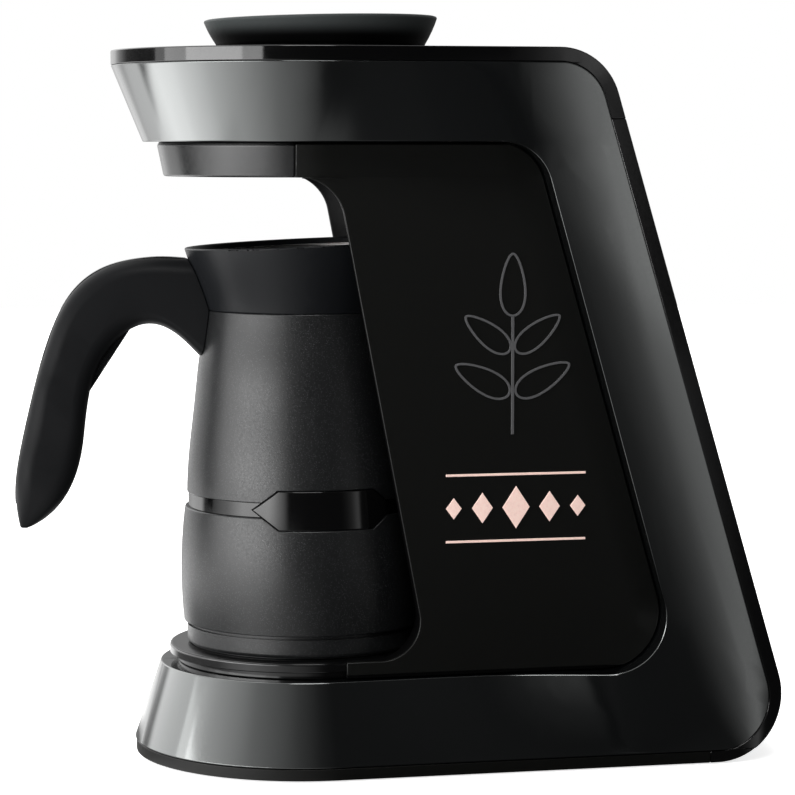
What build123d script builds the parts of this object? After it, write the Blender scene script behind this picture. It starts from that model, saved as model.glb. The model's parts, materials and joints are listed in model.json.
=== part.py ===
from build123d import *
import os
from math import cos, sin, tan, radians, degrees

os.makedirs("parts", exist_ok=True)

# Electric Turkish coffee maker: a C-shaped machine and a lift-off heated jug.
# -Y is the front (handle side), +Y the back, +Z up, z = 0 on the table.
# All lengths in millimetres.  The machine is drawn about the jug's axis, the
# jug from the platform that it stands on, and both are written with the origin
# in the middle of their footprint box on the table.

# ---- driving dimensions -------------------------------------------------

# levels above the table
plate_floor_z = 0.6        # underside of the base plate
band_top_z = 5.4           # top of the base plate's band
skirt_top_z = 35.6         # top edge of the base skirt
platform_top_z = 42.3      # where the jug stands
drum_bottom_z = 222.5      # underside of the sensor housing
arm_bottom_z = 235.6       # lower edge of the arm
arm_top_z = 264.6          # lower edge of the top cover
machine_top_z = 270.1      # top face of the arm

# jug: outside radii, heights above the platform, and rises from form to form
jug_stand = 0.3            # running gap under the foot
foot_r = 45.8
foot_top_h = 7.4
groove_r = 44.7
groove_top_h = 8.8
jug_foot_r = 47.1
jug_max_r = 48.0
jug_max_h = 22.2
belt_low_r = 46.5
belt_bottom_h = 53.3
belt_r = 45.2
belt_t = 3.2
belt_h = 5.5
belt_high_r = 45.7
chest_r = 44.4
chest_rise = 19.7
shoulder_r = 42.7
shoulder_rise = 14.6
waist_r = 41.2
waist_rise = 14.1
throat_r = 39.4
throat_rise = 12.4
neck_r = 38.2
neck_rise = 9.4
flare_low_r = 40.1
flare_low_rise = 6.4
flare_high_r = 43.0
flare_high_rise = 8.0
rim_r = 47.8
rim_form_rise = 15.2       # the collar's form runs up to here before the rim is cut
rim_drop = 3.9             # from there down to the rim, on the jug's axis
rim_tilt = 2.5             # degrees, the back of the rim stands higher
jug_wall = 2.0
pot_wall = 0.8
pot_gap = 1.8              # between the jug's wall and the pot
pot_floor_h = 19.0
pot_floor_gap = 0.7        # between the jug's wall and the pot's floor, for the seal
pot_belt_gap = 0.4
pot_rim_drop = 2.2         # the pot ends this far below the collar's rim

# walls and gaps
cover_t = 2.2
panel_t = 2.0
liner_t = 2.1
bay_gap = 1.8              # between the jug at its widest and the bay
seam = 0.3
shadow_gap = 0.9           # between the arm and the drum
shoulder_set = 0.8         # a dark shoulder fills that gap, this far in from the drum's edge
floor_gap = 1.8            # shadow gap under the side panels
lip_depth = 5.4            # how far the top and back covers wrap the sides
cover_split_rise = 8.4     # the top cover ends this far above the arm's lower edge
flange_depth = 6.0         # cover flange behind the panel's plane

# nose radii about the jug's axis, each a step from the last
bay_r = jug_max_r + bay_gap
panel_r = bay_r + liner_t + panel_t
platform_r = panel_r - 1.2
drum_flare = 2.5
skirt_step = 2.3
skirt_flare = 10.2
band_step = 0.5
arm_overhang = 7.9
arm_flare = 11.9
skirt_top_r = panel_r + skirt_step
skirt_bottom_r = skirt_top_r + skirt_flare
band_r = skirt_bottom_r - band_step
arm_bottom_r = panel_r + arm_overhang
arm_top_r = arm_bottom_r + arm_flare
core_r = panel_r - flange_depth

# side and back faces
side_taper = 7.5           # degrees, each side in towards the back
arm_side_taper = 0.8       # degrees, at the arm's lower edge
back_foot_y = 188.6        # back line extended down to the table
back_lean = 16.6           # degrees from the vertical
back_top_corner_r = 23.5
back_foot_corner_r = 25.2
crown_length = 38.0        # rear stretch of each side that curves in
crown_drop = 3.2
skirt_blend_y = 82.0       # the skirt runs straight back to here, then swells

# window of the C (side view)
rail_depth = 38.1          # the rail's inner edge, ahead of the back line
rail_lean = 15.9
window_top_corner_r = 19.0
window_foot_corner_r = 22.0

# column front (side view)
wing_foot_y = 51.4         # front edge extended down to the table
wing_lean = 10.7
wing_top_r = 17.0
wing_foot_r = 14.6
wing_start_y = -6.0        # where the drum hands over to the panels
column_foot_y = 12.7       # front of the column below the platform's top

# platform and turning connector
platform_lip_h = 3.8       # the platform's rim, above its shadow groove
platform_step_w = 3.2      # the platform's lower part is smaller by this
platform_edge = 0.6
connector_r = 15.5
connector_h = 8.0          # above the platform
connector_wall = 3.0
connector_foot_z = 27.4    # from here up the connector is solid
connector_flange_w = 6.0
connector_flange_t = 2.0
ring_radii = (12.6, 9.0)
ring_w = 1.4
ring_slot = 5.0
ring_sink = 0.4
pin_r = 3.0
pin_seat = 8.0
pin_proud = 1.2

# start button
cap_top_r = 44.6
cap_bottom_r = 39.6
cap_gap = 1.5              # between the cap and the top cover
cap_y = 6.0
cap_h = 10.9               # at its middle
cap_tilt = 1.2             # degrees, its top face falls to the front
cap_dish = 1.0             # depth of the shallow dish in its top
cap_rim = 2.4              # flat ring round the dish
cap_edge = 1.0
button_travel = 1.2
stem_r = 9.0
stem_len = 14.0
stem_fit = 0.08            # running fit in the guide, on the radius
nib_r = 1.8
nib_gap = 0.1              # above the pressed switch, at the end of the travel
guide_wall = 2.4
guide_len = 14.0
guide_flange_r = 19.0
guide_flange_t = 2.0
post_r = 2.4
post_x = 15.0
board_t = 1.6
board_half = 20.0
board_drop = 21.3          # top of the button's board below the top cover's inside
switch_half = 3.0
switch_h = 1.9
plunger_r = 1.5
plunger_h = 0.4
buzzer_r = 6.0
buzzer_h = 6.5
buzzer_x = 12.0
spring_r = 5.6             # middle of the wire
spring_wire_r = 0.5
spring_coils = 5
spring_seat = 0.05
light_ring_r = 37.0
light_ring_w = 2.6
light_ring_t = 1.1
light_ring_fit = 0.1

# foam sensor
lens_y = -22.0
lens_r = 8.0
lens_fit = 0.1
lens_lip = 2.0
lens_lip_t = 1.0
lens_sink = 0.2
sensor_half_w = 13.0
sensor_half_len = 12.0
sensor_lift = 4.0
sensor_eye = 3.0
neck_reach = 6.6           # the housing's neck runs this far up into the arm

# base plate fixings
foot_pad_r = 7.5
foot_pad_edge = 0.5
foot_sink = 1.0
foot_ring = 1.6
foot_ring_h = 0.6
foot_fit = 0.1
front_foot = (34.0, -34.0)
back_foot = (29.2, 138.0)
screw_r = 1.5
screw_len = 9.0
screw_head_r = 2.9
screw_head_t = 1.8
screw_boss_r = 4.2
screw_boss_h = 6.0
front_screw = (20.0, -42.0)
back_screw = (14.0, 130.0)
base_split_gap = 12.0      # the plate ends this far ahead of the rear corner
post_root = 0.5            # posts are rooted this deep in their plate

# boards
power_half_w = 30.0
power_front_y = 66.0
power_len = 60.0
power_lift = 8.0
power_post_r = 3.0
power_post_in = 4.0        # posts stand this far in from the board's edges
capacitor_r = 6.0
capacitor_h = 16.0
capacitor_places = ((-18.0, 80.0), (-2.0, 80.0))
relay_x = (6.0, 26.0)
relay_y = (74.0, 92.0)
relay_h = 14.0
main_half_w = 34.0
main_foot_gap = 20.0       # above the platform's level
main_top_gap = 21.0        # below the drum's underside
main_behind_bay = 10.0
rail_w = 3.0
rail_front = 4.0
rail_back = 5.0
rail_over = 4.0
slot_fit = 0.1

# mains inlet
inlet_z = 44.0
inlet_r = 4.2
grommet_r = 6.4
grommet_in = 8.0
grommet_lip_r = 9.0
grommet_lip_t = 1.6
grommet_gap = 0.2
grommet_proud = 0.3
clamp_y = 140.0
clamp_half_w = 14.0
clamp_half_len = 4.0
clamp_t = 3.0
clamp_lift = 6.0
clamp_post_r = 3.0
clamp_post_x = 11.0

# jug fittings
foot_edge_r = 1.6          # rounding of the foot ring's lower edge
plaque_half_w = 27.0
plaque_tip = 9.0
plaque_half_h = 7.3
plaque_sink = 0.6          # seated this far below the belt's face
plaque_fit = 0.15
plaque_turn = 7.7          # degrees back from the side
shell_floor_t = 2.0
shell_fit = 0.1            # the foot cover's collar in the lower shell
heater_r = 36.0
heater_t = 4.6
heater_ring_r = 28.5
heater_ring_w = 2.6
heater_ring_h = 2.9
heater_groove = 1.4
heater_ring_gap = 3.0      # half the gap between the ring's two ends
thermostat_r = 5.0
thermostat_h = 3.0
thermostat_x = -22.0
tab_half_w = 2.0
tab_t = 1.5
seal_fit = 0.1
seal_low = 1.5
seal_high = 2.0
socket_r = 19.5
socket_flange = 3.5
socket_fit = 0.3           # running gap round the connector and in the foot
socket_head = 1.6          # free height above the connector
socket_roof = 1.8
blade_half_w = 1.5
blade_half_t = 0.4
blade_dip = 0.3

# handle, in the jug's front plane; seats are (y, height above the platform)
handle_w = 21.0
handle_reach = 111.1       # furthest point of the outer curve, ahead of the jug's axis
handle_drop = 9.8          # the handle's top below the collar's form
handle_len = 103.1         # from its top to its tip
handle_edge_r = 7.0
handle_fit = 0.1
strip_w = 6.4
strip_t = 1.4
strip_proud = 0.3
low_screw_in = 0.6         # seats inside the collar's wall, and rises above its crease
low_screw_rise = 3.4
high_screw_in = 0.3
high_screw_rise = 3.5
handle_screw_r = 1.6
handle_head_r = 2.2
handle_head_t = 1.0
handle_screw_len = 15.0
screw_fit = 0.1

# reach of cutting shapes, past the machine and past a face
far = 400.0
past = 1.0

# levels and places that follow
belt_top_h = belt_bottom_h + belt_h
chest_h = belt_top_h + chest_rise
shoulder_h = chest_h + shoulder_rise
waist_h = shoulder_h + waist_rise
throat_h = waist_h + throat_rise
neck_h = throat_h + neck_rise
flare_low_h = neck_h + flare_low_rise
flare_high_h = flare_low_h + flare_high_rise
rim_form_h = flare_high_h + rim_form_rise
rim_h = rim_form_h - rim_drop
handle_top_h = rim_form_h - handle_drop
low_screw = (low_screw_in - neck_r, neck_h + low_screw_rise)
high_screw = (high_screw_in - flare_low_r, flare_low_h + high_screw_rise)
cover_split_z = arm_bottom_z + cover_split_rise
plate_top_z = plate_floor_z + cover_t
plate_under_z = machine_top_z - cover_t
panel_top_z = arm_bottom_z - shadow_gap
connector_top_z = platform_top_z + connector_h
cap_low_z = machine_top_z + cap_gap
cap_top_z = cap_low_z + cap_h
stem_low_z = cap_low_z - stem_len
button_board_top_z = plate_under_z - board_drop
button_board_z = button_board_top_z - board_t
drum_roof_z = drum_bottom_z + cover_t
power_board_z = plate_top_z + power_lift
main_board_y = bay_r + cover_t + main_behind_bay
main_low_z = platform_top_z + main_foot_gap
main_high_z = drum_bottom_z - main_top_gap
guide_r = stem_r + stem_fit + guide_wall
pot_inset = jug_wall + pot_gap
pot_floor_r = jug_foot_r - jug_wall - pot_floor_gap
plaque_seat_r = belt_r - plaque_sink
heater_low_h = pot_floor_h - heater_t
base_split_y = back_foot_y - back_foot_corner_r - base_split_gap
settle = radians(side_taper)


# ---- outlines -------------------------------------------------------------

def back_y(z, inset=0.0):
    """Back line at height z, moved in by inset square to the face."""
    lean = radians(back_lean)
    return back_foot_y - z * tan(lean) - inset / cos(lean)


def envelope_r(z):
    """Radius that the flat sides are tangent to, at height z."""
    share = (z - band_top_z) / (arm_top_z - band_top_z)
    return skirt_bottom_r + share * (arm_top_r - skirt_bottom_r)


def side_x(r, y):
    """Half width at y of straight sides tangent to a nose of radius r."""
    return r / cos(settle) - y * tan(settle)


def mirrored(edge):
    return edge.mirror(Plane.YZ)


def closed_face(right_edges, nose, back, z):
    left_edges = [mirrored(edge) for edge in right_edges]
    wire = Wire([nose] + right_edges + [back] + left_edges)
    return Pos(0, 0, z) * Face(wire)


def body_plan(z, nose_r, taper=side_taper, middle_r=None, inset=0.0):
    """Plan outline of the machine at height z: round nose, long sides that
    settle onto the envelope, a crowned stretch and a flat back."""
    angle = radians(taper)
    start = Vector(nose_r * cos(angle), nose_r * sin(angle))
    knee_y = back_y(z) - crown_length
    knee = Vector(side_x(envelope_r(z) - inset, knee_y), knee_y)
    corner = Vector(side_x(envelope_r(z) - inset, back_y(z)) - crown_drop, back_y(z))
    along = Vector(-sin(angle), cos(angle))
    settled = Vector(-sin(settle), cos(settle))
    crowned = settled.rotate(Axis.Z, degrees(2 * crown_drop / crown_length))
    nose = ThreePointArc((-start.X, start.Y), (0, -nose_r), (start.X, start.Y))
    if middle_r is None:
        side = Spline(start, knee, tangents=[along, settled])
    else:
        middle = Vector(side_x(middle_r, skirt_blend_y), skirt_blend_y)
        side = Spline(start, middle, knee, tangents=[along, settled])
    crown = Spline(knee, corner, tangents=[settled, crowned])
    back = Line(corner, (-corner.X, corner.Y))
    return closed_face([side, crown], nose, back, z)


def plain_plan(z, nose_r, end_y):
    """Round nose and straight tapered sides, cut square at end_y."""
    start = Vector(nose_r * cos(settle), nose_r * sin(settle))
    end = Vector(side_x(nose_r, end_y), end_y)
    nose = ThreePointArc((-start.X, start.Y), (0, -nose_r), (start.X, start.Y))
    return closed_face([Line(start, end)], nose, Line(end, (-end.X, end.Y)), z)


def plain_prism(nose_r, low_z, high_z, end_y=back_foot_y):
    return extrude(plain_plan(low_z, nose_r, end_y), high_z - low_z, dir=(0, 0, 1))


def side_slab(face):
    return extrude(face, far, both=True)


def side_face(*points):
    """Face in the YZ plane from (y, z) points."""
    return Plane.YZ * make_face(Polyline(*points, close=True))


def corners_near(shape, points, reach=1.0):
    chosen = []
    for y, z in points:
        chosen += [v for v in shape.vertices() if abs(v.Y - y) + abs(v.Z - z) < reach]
    return chosen


def machine_profile(inset=0.0, low_inset=None):
    """Side view of the machine's back and its two rear corners."""
    low = plate_floor_z + (inset if low_inset is None else low_inset)
    high = machine_top_z - inset
    foot = (back_y(low, inset), low)
    top = (back_y(high, inset), high)
    face = side_face((-far, low), foot, top, (-far, high))
    face = fillet(corners_near(face, [foot]), back_foot_corner_r - inset)
    return fillet(corners_near(face, [top]), back_top_corner_r - inset)


def rail_y(z):
    return back_foot_y - rail_depth - z * tan(radians(rail_lean))


def window_profile(grow=0.0, lift=0.0):
    """Side view of the opening inside the C, larger by grow and higher by lift."""
    low = skirt_top_z - grow
    high = arm_bottom_z + grow + lift
    shift = grow / cos(radians(rail_lean))
    foot = (rail_y(low) + shift, low)
    top = (rail_y(high) + shift, high)
    face = side_face((-far, low), foot, top, (-far, high))
    face = fillet(corners_near(face, [foot]), window_foot_corner_r + grow)
    return fillet(corners_near(face, [top]), window_top_corner_r + grow)


def wing_y(z):
    return wing_foot_y - z * tan(radians(wing_lean))


def column_profile(inset=0.0, low=skirt_top_z, high=arm_bottom_z):
    """Side view of the column behind the jug; its front edge is filleted into
    the drum above and the platform below."""
    front = inset / cos(radians(wing_lean))
    top_z = drum_bottom_z + inset
    foot_z = platform_top_z - inset
    drum = (wing_y(top_z) + front, top_z)
    foot = (wing_y(foot_z) + front, foot_z)
    start_y = wing_start_y + inset
    foot_y = column_foot_y + inset
    face = side_face(
        (start_y, high), (start_y, top_z), drum, foot, (foot_y, foot_z),
        (foot_y, low), (back_foot_y, low), (back_foot_y, high),
    )
    face = fillet(corners_near(face, [drum]), wing_top_r - inset)
    return fillet(corners_near(face, [foot]), wing_foot_r - inset)


def tube(r_out, r_in, low, high, x=0.0, y=0.0):
    ring = Cylinder(r_out, high - low, align=(Align.CENTER, Align.CENTER, Align.MIN))
    ring -= Cylinder(r_in, high - low, align=(Align.CENTER, Align.CENTER, Align.MIN))
    return Pos(x, y, low) * ring


def rod(r, low, high, x=0.0, y=0.0):
    return Pos(x, y, low) * Cylinder(r, high - low, align=(Align.CENTER, Align.CENTER, Align.MIN))


def block(x0, x1, y0, y1, z0, z1):
    box = Box(x1 - x0, y1 - y0, z1 - z0, align=(Align.MIN, Align.MIN, Align.MIN))
    return Pos(x0, y0, z0) * box


def right_half(shape):
    return shape & block(0, far, -far, far, -far, far)


def left_half(shape):
    return shape & block(-far, 0, -far, far, -far, far)


# ---- machine covers ---------------------------------------------------------

def machine_solid(inset=0.0):
    """The outer form between base band and arm top, smaller by inset."""
    low = body_plan(band_top_z, skirt_bottom_r - inset, inset=inset)
    skirt = body_plan(skirt_top_z, skirt_top_r - inset, middle_r=skirt_top_r - inset, inset=inset)
    arm_low = body_plan(arm_bottom_z, arm_bottom_r - inset, taper=arm_side_taper, inset=inset)
    arm_high = body_plan(arm_top_z, arm_top_r - inset, inset=inset)
    solid = loft([low, skirt], ruled=True)
    solid += loft([skirt, arm_low], ruled=True)
    solid += loft([arm_low, arm_high], ruled=True)
    return solid


def rim_solid(inset=0.0):
    """The same form with the base band and the top cover added."""
    top_low = body_plan(arm_top_z, arm_top_r - inset, inset=inset)
    top_high = body_plan(machine_top_z, arm_top_r - inset, inset=inset)
    band_low = body_plan(plate_floor_z, band_r - inset, inset=inset + skirt_bottom_r - band_r)
    band_high = body_plan(band_top_z, band_r - inset, inset=inset + skirt_bottom_r - band_r)
    solid = machine_solid(inset)
    solid += loft([top_low, top_high], ruled=True)
    solid += loft([band_low, band_high], ruled=True)
    return solid



# ---- machine covers, as pieces ------------------------------------------------

rim_band = side_slab(machine_profile())
rim_inside = side_slab(machine_profile(lip_depth, band_top_z - seam - plate_floor_z))
rim_channel = rim_solid(cover_t) & side_slab(machine_profile(cover_t))
rim_shell = (rim_solid() & rim_band) - rim_channel - rim_inside

base_zone = block(-far, far, -far, base_split_y, -far, band_top_z + past)


def flared(r, low, high):
    """Prism with the drum's flare above its underside."""
    flare = loft(
        [
            plain_plan(drum_bottom_z, r, back_foot_y),
            plain_plan(high, r + drum_flare, back_foot_y),
        ],
        ruled=True,
    )
    return plain_prism(r, low, drum_bottom_z) + flare


def c_cover():
    """Both side covers as one: a C with a flange round its window."""
    outer = machine_solid() & rim_inside
    room = machine_solid(cover_t) - side_slab(window_profile(cover_t))
    core = plain_prism(core_r, plate_floor_z, machine_top_z)
    return outer - room - side_slab(window_profile()) - core


def side_panels():
    outer = flared(panel_r, skirt_top_z, panel_top_z)
    solid = outer - flared(panel_r - panel_t, skirt_top_z, panel_top_z)
    solid &= side_slab(column_profile())
    solid &= side_slab(window_profile(-seam))
    return solid & block(-far, far, -far, far, skirt_top_z + floor_gap, panel_top_z)


def bay_liner():
    """Wall behind the jug with its two wings and the webs behind the panels."""
    r = panel_r - panel_t
    solid = plain_prism(r, skirt_top_z, arm_bottom_z) & side_slab(column_profile())
    solid &= side_slab(window_profile(-seam, seam))
    hollow = plain_prism(r - panel_t, skirt_top_z, arm_bottom_z)
    hollow &= side_slab(column_profile(cover_t))
    hollow -= rod(bay_r + cover_t, skirt_top_z, drum_roof_z)
    return solid - hollow - rod(bay_r, skirt_top_z, drum_bottom_z)


def nose_only(shape):
    return shape & block(-far, far, -far, wing_start_y, -far, far)


def sensor_housing():
    """Half cup under the arm, with a shoulder that meets the arm's flange and a
    neck that plugs into it."""
    outer = flared(panel_r, drum_bottom_z - past, panel_top_z)
    inner = flared(panel_r - panel_t, drum_bottom_z - past, panel_top_z)
    cup = outer & block(-far, far, -far, far, drum_bottom_z, panel_top_z)
    cup -= inner & block(-far, far, -far, far, drum_roof_z, panel_top_z)
    neck_out = core_r - seam
    cup += tube(neck_out, neck_out - panel_t, drum_roof_z, arm_bottom_z + neck_reach)
    shoulder_out = panel_r + drum_flare - shoulder_set
    cup += tube(shoulder_out, neck_out - panel_t, panel_top_z - panel_t, arm_bottom_z)
    return nose_only(cup) - rod(lens_r, drum_bottom_z - past, drum_roof_z + past, y=lens_y)


def column_zone():
    """The column's own room, which the platform leaves free."""
    low = skirt_top_z - past
    zone = plain_prism(panel_r + past, low, arm_bottom_z) & side_slab(column_profile(low=low))
    return zone - rod(bay_r - seam, low, arm_bottom_z)


def jug_platform():
    plate = rod(platform_r - platform_step_w, skirt_top_z, platform_top_z)
    plate += rod(platform_r, platform_top_z - platform_lip_h, platform_top_z)
    plate = chamfer(plate.edges().filter_by(GeomType.CIRCLE).sort_by(Axis.Z)[-1], platform_edge)
    plate -= rod(connector_r + seam, skirt_top_z - past, platform_top_z + past)
    return plate - column_zone()


# ---- connector, boards and fixings -----------------------------------------

def base_connector():
    """Round male half of the turning connector, on a foot that stands on the base plate."""
    body = rod(connector_r, connector_foot_z, connector_top_z)
    body += rod(connector_r + connector_flange_w, skirt_top_z - connector_flange_t, skirt_top_z)
    body += tube(connector_r, connector_r - connector_wall, plate_top_z, connector_foot_z)
    for r in ring_radii:
        body -= tube(r + ring_w / 2, r - ring_w / 2, connector_top_z - ring_slot, connector_top_z)
    return body - rod(pin_r, connector_top_z - pin_seat, connector_top_z)


def contact_rings():
    low, high = connector_top_z - ring_slot, connector_top_z - ring_sink
    return Compound([tube(r + ring_w / 2, r - ring_w / 2, low, high) for r in ring_radii])


def contact_pin():
    return rod(pin_r, connector_top_z - pin_seat, connector_top_z + pin_proud)


def on_both_sides(*places):
    return [(side * x, y) for side in (-1, 1) for x, y in places]


def power_board_span():
    return -power_half_w, power_half_w, power_front_y, power_front_y + power_len


def base_plate():
    plate = rim_shell & base_zone
    x0, x1, y0, y1 = power_board_span()
    for x in (x0 + power_post_in, x1 - power_post_in):
        for y in (y0 + power_post_in, y1 - power_post_in):
            plate += rod(power_post_r, plate_top_z - post_root, power_board_z, x, y)
    for x, y in on_both_sides(front_screw, back_screw):
        plate += rod(screw_boss_r, plate_top_z - post_root, plate_top_z + screw_boss_h, x, y)
        plate -= rod(screw_head_r + screw_fit, plate_floor_z - past, plate_floor_z + screw_head_t, x, y)
        plate -= rod(screw_r + screw_fit, plate_floor_z - past, plate_top_z + screw_len, x, y)
    for x, y in on_both_sides(front_foot, back_foot):
        plate += rod(foot_pad_r + foot_ring, plate_top_z - post_root, plate_top_z + foot_ring_h, x, y)
        plate -= rod(foot_pad_r + foot_fit, plate_floor_z - past, plate_floor_z + foot_sink, x, y)
    return plate


def rubber_feet():
    pads = [
        rod(foot_pad_r, 0, plate_floor_z + foot_sink, x, y)
        for x, y in on_both_sides(front_foot, back_foot)
    ]
    return Compound([chamfer(pad.edges().sort_by(Axis.Z)[0], foot_pad_edge) for pad in pads])


def base_screw():
    """Screw pointing up from z = 0, head down, with a hexagon socket."""
    body = rod(screw_head_r, 0, screw_head_t) + rod(screw_r, screw_head_t, screw_len)
    return body - extrude(RegularPolygon(screw_head_r / 2, 6), screw_head_t / 2)


def base_screws():
    places = on_both_sides(front_screw, back_screw)
    return Compound([Pos(x, y, plate_floor_z) * base_screw() for x, y in places])


# ---- top and back covers, button --------------------------------------------------

def top_cover():
    """Top plate of the arm, down to the foot of its rounded rear corner."""
    top = rim_shell & block(-far, far, -far, far, cover_split_z, far)
    top -= rod(guide_r + seam / 2, plate_under_z - past, machine_top_z + past, y=cap_y)
    half = light_ring_w / 2 + light_ring_fit
    groove_z = machine_top_z - light_ring_t
    return top - tube(light_ring_r + half, light_ring_r - half, groove_z, machine_top_z + past, y=cap_y)


def back_cover():
    """Leaning back and rear foot corner in one shell."""
    back = (rim_shell - base_zone) & block(-far, far, -far, far, -far, cover_split_z)
    return back - through_back(grommet_r + slot_fit, -back_foot_corner_r, past)


def along_y(r, y0, y1, z, x=0.0):
    return Pos(x, y0, z) * Rot(-90, 0, 0) * Cylinder(r, y1 - y0, align=(Align.CENTER, Align.CENTER, Align.MIN))


def through_back(r, start, end):
    """Cylinder at the mains inlet, square to the leaning back, from start to end off its face."""
    return Pos(0, back_y(inlet_z), inlet_z) * Rot(back_lean, 0, 0) * along_y(r, start, end, 0)


def light_ring():
    r, w = light_ring_r, light_ring_w / 2
    return tube(r + w, r - w, machine_top_z - light_ring_t, machine_top_z, y=cap_y)


def button_cap():
    """Inverted shallow cone with a dished top that falls to the front."""
    tall = cap_h + 2 * cap_dish
    slope = (cap_top_r - cap_bottom_r) / cap_h
    body = Cone(
        cap_bottom_r, cap_bottom_r + slope * tall, tall,
        align=(Align.CENTER, Align.CENTER, Align.MIN),
    )
    body = Pos(0, 0, -cap_h) * body
    top = Rot(cap_tilt, 0, 0) * block(-far, far, -far, far, 0, far)
    dish_r = cap_top_r - cap_rim
    ball_r = (dish_r ** 2 + cap_dish ** 2) / (2 * cap_dish)
    dish = Rot(cap_tilt, 0, 0) * Pos(0, 0, ball_r - cap_dish) * Sphere(ball_r)
    body = body - top - dish
    body = chamfer(body.edges().filter_by(GeomType.CIRCLE).sort_by(Axis.Z)[0], cap_edge)
    return Pos(0, cap_y, cap_top_z) * body


def button_stem():
    stem = rod(stem_r, stem_low_z, cap_low_z, y=cap_y)
    nib_low = button_board_top_z + switch_h + button_travel + nib_gap
    return stem + rod(nib_r, nib_low, stem_low_z, y=cap_y)


def button_guide():
    """Bush under the top plate with two posts that carry the switch board."""
    guide = rod(guide_r, machine_top_z - guide_len, machine_top_z, y=cap_y)
    guide += rod(guide_flange_r, plate_under_z - guide_flange_t, plate_under_z, y=cap_y)
    for x in (-post_x, post_x):
        guide += rod(post_r, button_board_top_z, plate_under_z - post_root, x, cap_y)
    return guide - rod(stem_r + stem_fit, 0, far, y=cap_y)


def button_spring():
    low = button_board_top_z + spring_wire_r + spring_seat
    high = stem_low_z - spring_wire_r - spring_seat
    path = Helix((high - low) / spring_coils, high - low, spring_r)
    section = Plane(path @ 0, z_dir=path % 0) * Circle(spring_wire_r)
    return Pos(0, cap_y, low) * sweep(section, path)


def button_board():
    half = board_half
    return block(-half, half, cap_y - half, cap_y + half, button_board_z, button_board_top_z)


def tact_switch():
    half = switch_half
    top = button_board_top_z + switch_h
    body = block(-half, half, cap_y - half, cap_y + half, button_board_top_z, top - plunger_h)
    return body + rod(plunger_r, top - 2 * plunger_h, top, y=cap_y)


def buzzer():
    return rod(buzzer_r, button_board_z - buzzer_h, button_board_z, buzzer_x, cap_y)


# ---- sensor, boards, inlet ------------------------------------------------------

def sensor_lens():
    lens = rod(lens_r - lens_fit, drum_bottom_z + lens_sink, drum_roof_z, y=lens_y)
    return lens + rod(lens_r + lens_lip, drum_roof_z, drum_roof_z + lens_lip_t, y=lens_y)


def sensor_board():
    low = drum_roof_z + lens_lip_t
    high = low + sensor_lift
    w, half_len, eye = sensor_half_w, sensor_half_len, sensor_eye
    board = block(-w, w, lens_y - half_len, lens_y + half_len, high, high + board_t)
    return board + block(-eye, eye, lens_y - eye, lens_y + eye, low, high)


def main_board():
    back = main_board_y + board_t
    return block(-main_half_w, main_half_w, main_board_y, back, main_low_z, main_high_z)


def board_rails():
    """Two slotted rails that hold the main board off the bay wall."""
    front, back = main_board_y - rail_front, main_board_y + rail_back
    edge = side_x(panel_r - 2 * panel_t, back) - seam
    rail = block(main_half_w - rail_w, edge, front, back, main_low_z - rail_over, main_high_z + rail_over)
    rail -= block(
        0, main_half_w + slot_fit, main_board_y - slot_fit, main_board_y + board_t + slot_fit,
        main_low_z - slot_fit, main_high_z + slot_fit,
    )
    return Compound([rail, rail.mirror(Plane.YZ)])


def power_board():
    x0, x1, y0, y1 = power_board_span()
    top = power_board_z + board_t
    board = block(x0, x1, y0, y1, power_board_z, top)
    for x, y in capacitor_places:
        board += rod(capacitor_r, top, top + capacitor_h, x, y)
    return board + block(*relay_x, *relay_y, top, top + relay_h)


def inlet_grommet():
    """Rubber bush pushed in from inside, with its lip behind the wall."""
    lip_end = -cover_t - grommet_gap
    body = through_back(grommet_r, -grommet_in, grommet_proud)
    body += through_back(grommet_lip_r, lip_end - grommet_lip_t, lip_end)
    return body - through_back(inlet_r, -2 * grommet_in, past)


def cable_clamp():
    """Bar on two posts that holds the mains lead inside the base."""
    low = plate_top_z + clamp_lift
    back = clamp_y + clamp_half_len
    bar = block(-clamp_half_w, clamp_half_w, clamp_y - clamp_half_len, back, low, low + clamp_t)
    bar -= along_y(inlet_r, clamp_y - 2 * clamp_half_len, back + past, low - clamp_t / 2)
    for x in (-clamp_post_x, clamp_post_x):
        bar += rod(clamp_post_r, plate_top_z, low + post_root, x, clamp_y)
    return bar


# ---- jug, in heights above the platform --------------------------------------------


def turned(*edges):
    """Solid of revolution about the jug's axis from edges in the XZ plane."""
    return revolve(make_face(list(edges)), Axis.Z)


def on_xz(points):
    return [(r, 0, h) for r, h in points]


def ring_between(outer, inner):
    """Turned wall between two splines given as (r, h) points, low to high."""
    out_edge = Spline(*on_xz(outer))
    in_edge = Spline(*on_xz(inner))
    low = Line(in_edge @ 0, out_edge @ 0)
    high = Line(out_edge @ 1, in_edge @ 1)
    return turned(low, out_edge, high, in_edge)


lower_points = ((jug_foot_r, groove_top_h), (jug_max_r, jug_max_h), (belt_low_r, belt_bottom_h))
upper_points = (
    (belt_high_r, belt_top_h), (chest_r, chest_h), (shoulder_r, shoulder_h), (waist_r, waist_h),
    (throat_r, throat_h), (neck_r, neck_h),
)
collar_points = (
    (neck_r, neck_h), (flare_low_r, flare_low_h), (flare_high_r, flare_high_h), (rim_r, rim_form_h),
)


def inset_points(points, inset):
    return tuple((r - inset, h) for r, h in points)


def lower_shell():
    shell = ring_between(lower_points, inset_points(lower_points, jug_wall))
    floor_top = groove_top_h + shell_floor_t
    shell += tube(jug_foot_r - jug_wall / 2, groove_r + shell_fit, groove_top_h, floor_top)
    return shell - plaque_zone()


def rim_cutter():
    """Everything above the sloping rim."""
    return Pos(0, 0, rim_h) * Rot(rim_tilt, 0, 0) * block(-far, far, -far, far, 0, far)


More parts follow.
